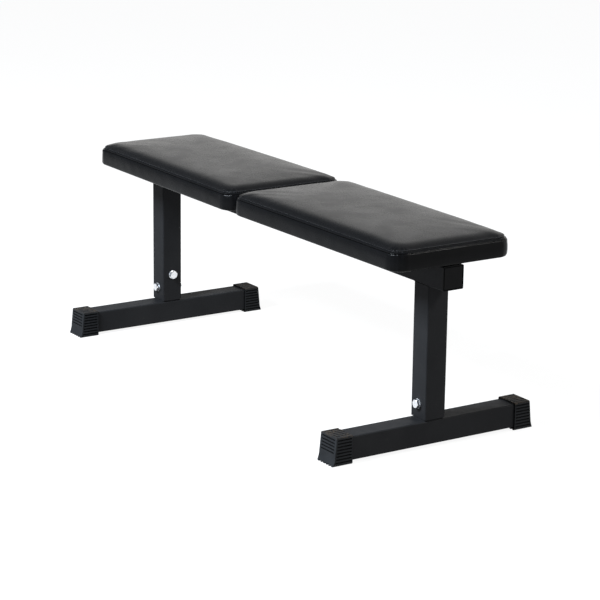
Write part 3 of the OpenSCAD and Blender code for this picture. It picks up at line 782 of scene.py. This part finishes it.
def make_stitches(end, line):
    """Thread stitches that follow a closed line of points in the groove above the seam."""
    line = line + [line[0]]
    lengths = [0.0]
    for a, b in zip(line, line[1:]):
        lengths.append(lengths[-1] + float(np.linalg.norm(b - a)))
    table = np.array(line)
    total = round(lengths[-1] / STITCH_PITCH)
    centre = table.mean(0)
    ring = range(STITCH_SIDES)
    last_ring = (len(STITCH_PROFILE) - 1) * STITCH_SIDES
    points, faces = [], []
    for k in range(total):
        middle = lengths[-1] * k / total
        spots = [np.array([np.interp((middle + d) % lengths[-1], lengths, table[:, c]) for c in range(3)])
                 for d in (-STITCH_LENGTH / 2, STITCH_LENGTH / 2)]
        base = len(points)
        points += stitch_points(*spots, centre)
        faces += grid_faces(len(STITCH_PROFILE), STITCH_SIDES, base)
        faces += [tuple(base + a for a in reversed(ring)), tuple(base + last_ring + a for a in ring)]
    add_piece(f"{end}_pad_stitches", placed(points, end), faces, "seam_thread")


def make_pad(end):
    seed = SEEDS[end]
    swell = Swell(end)
    rows = band_rows(seed, swell) + cover_top_rows(seed, swell)
    make_cover(end, rows)
    make_foam_core(end, swell)
    make_stitches(end, rows[len(BAND) + FINE_SIDE.index(STITCH_ROW)])


for end_name in ENDS:
    make_pad(end_name)

# ---------------------------------------------------------------- studio, in metres


def area_light(name, place, aim, size, power, colour):
    data = bpy.data.lights.new(name, "AREA")
    data.shape = "RECTANGLE"
    data.size, data.size_y = size
    data.energy = power
    data.color = colour
    lamp = bpy.data.objects.new(name, data)
    lamp.location = place
    lamp.rotation_mode = "QUATERNION"
    lamp.rotation_quaternion = (Vector(aim) - Vector(place)).to_track_quat("-Z", "Y")
    lamp.visible_camera = False
    scene.collection.objects.link(lamp)


FLOOR_GLOW = 0.90
FLOOR_HALF = 12.0
FLOOR_DROP = 0.0004               # the floor lies this far below the bench's soles


def make_floor():
    mesh = bpy.data.meshes.new("floor")
    corners = [(x * FLOOR_HALF, y * FLOOR_HALF, 0) for x, y in ((-1, -1), (1, -1), (1, 1), (-1, 1))]
    mesh.from_pydata(corners, [], [(0, 1, 2, 3)])
    s = Shader("floor_paper", 0.9, Specular_IOR_Level=0.0,
               Emission_Strength=FLOOR_GLOW, Emission_Color=(1, 1, 1, 1))
    s.set("Base Color", s.mixed(s.noise(1.5, 2.0), (0.115, 0.115, 0.115), (0.125, 0.125, 0.125)))
    clear = s.node("BsdfTransparent").outputs["BSDF"]
    below = s.node("NewGeometry").outputs["Backfacing"]
    seen = s.node("MixShader", {0: below, 1: s.shader.outputs["BSDF"], 2: clear}).outputs["Shader"]
    sheet = next(n for n in s.tree.nodes if n.type == "OUTPUT_MATERIAL")
    s.tree.links.new(seen, sheet.inputs["Surface"])
    mesh.materials.append(s.material)
    floor = bpy.data.objects.new("floor", mesh)
    floor.location.z = -FLOOR_DROP
    scene.collection.objects.link(floor)


SKY_TO = (-0.15, 1.0, -0.35)      # the studio is brightest in this direction, behind the bench
SKY_DIM, SKY_BRIGHT = 0.0, 0.55   # how far towards it the sky starts to brighten, and is fully bright
SKY_DARK = (0.175, 0.187, 0.205, 1.0)
SKY_LIGHT = (1.0, 0.99, 0.975, 1.0)
SKY_STRENGTH = 1.32


def make_world():
    """A sky that is bright behind the bench and dim in front, and plain white where the camera sees it."""
    world = bpy.data.worlds.new("studio")
    world.use_nodes = True
    tree = world.node_tree
    sky = tree.nodes["Background"]
    toward = tree.nodes.new("ShaderNodeVectorMath")
    toward.operation = "DOT_PRODUCT"
    toward.inputs[1].default_value = SKY_TO
    ramp = tree.nodes.new("ShaderNodeValToRGB")
    ramp.color_ramp.interpolation = "EASE"
    dark, light = ramp.color_ramp.elements
    dark.position, dark.color = SKY_DIM, SKY_DARK
    light.position, light.color = SKY_BRIGHT, SKY_LIGHT
    backdrop = tree.nodes.new("ShaderNodeMix")
    backdrop.data_type = "RGBA"
    backdrop.inputs[7].default_value = (1, 1, 1, 1)
    direction = tree.nodes.new("ShaderNodeTexCoord").outputs["Generated"]
    seen = tree.nodes.new("ShaderNodeLightPath").outputs["Is Camera Ray"]
    for source, target in ((direction, toward.inputs[0]),
                           (toward.outputs["Value"], ramp.inputs["Fac"]),
                           (seen, backdrop.inputs[0]),
                           (ramp.outputs["Color"], backdrop.inputs[6]),
                           (backdrop.outputs[2], sky.inputs["Color"])):
        tree.links.new(source, target)
    sky.inputs["Strength"].default_value = SKY_STRENGTH
    scene.world = world


make_floor()
make_world()
scene.view_settings.view_transform = "Standard"
area_light("key", (0.03, -2.5, 2.55), (0.1, 0.0, 0.4), (1.0, 1.0), 430, (0.84, 0.91, 1.0))
area_light("right_soft", (1.98, 1.16, 1.70), (0.6, 0.0, 0.45), (0.4, 0.4), 36, (1.0, 0.98, 0.95))

# Camera: direction and roll in degrees, target and distance in metres, lens in millimetres
AZIMUTH, ELEVATION, ROLL = (math.radians(a) for a in (56.94, 15.11, 0.73))
TARGET = Vector((0.0530, 0.0, 0.18966))
DISTANCE = 4.95144
LENS, SENSOR_WIDTH = 135.57, 36.0
level = math.cos(ELEVATION)
back = Vector((math.sin(AZIMUTH) * level, -math.cos(AZIMUTH) * level, math.sin(ELEVATION)))
right = Vector((math.cos(AZIMUTH), math.sin(AZIMUTH), 0))
up = back.cross(right)
camera_right = math.cos(ROLL) * right + math.sin(ROLL) * up
camera_up = -math.sin(ROLL) * right + math.cos(ROLL) * up
lens = bpy.data.cameras.new("camera")
lens.lens = LENS
lens.sensor_width = SENSOR_WIDTH
camera = bpy.data.objects.new("camera", lens)
turned = Matrix((camera_right, camera_up, back)).transposed()
camera.matrix_world = Matrix.Translation(TARGET + DISTANCE * back) @ turned.to_4x4()
scene.collection.objects.link(camera)
scene.camera = camera

bpy.context.view_layer.update()
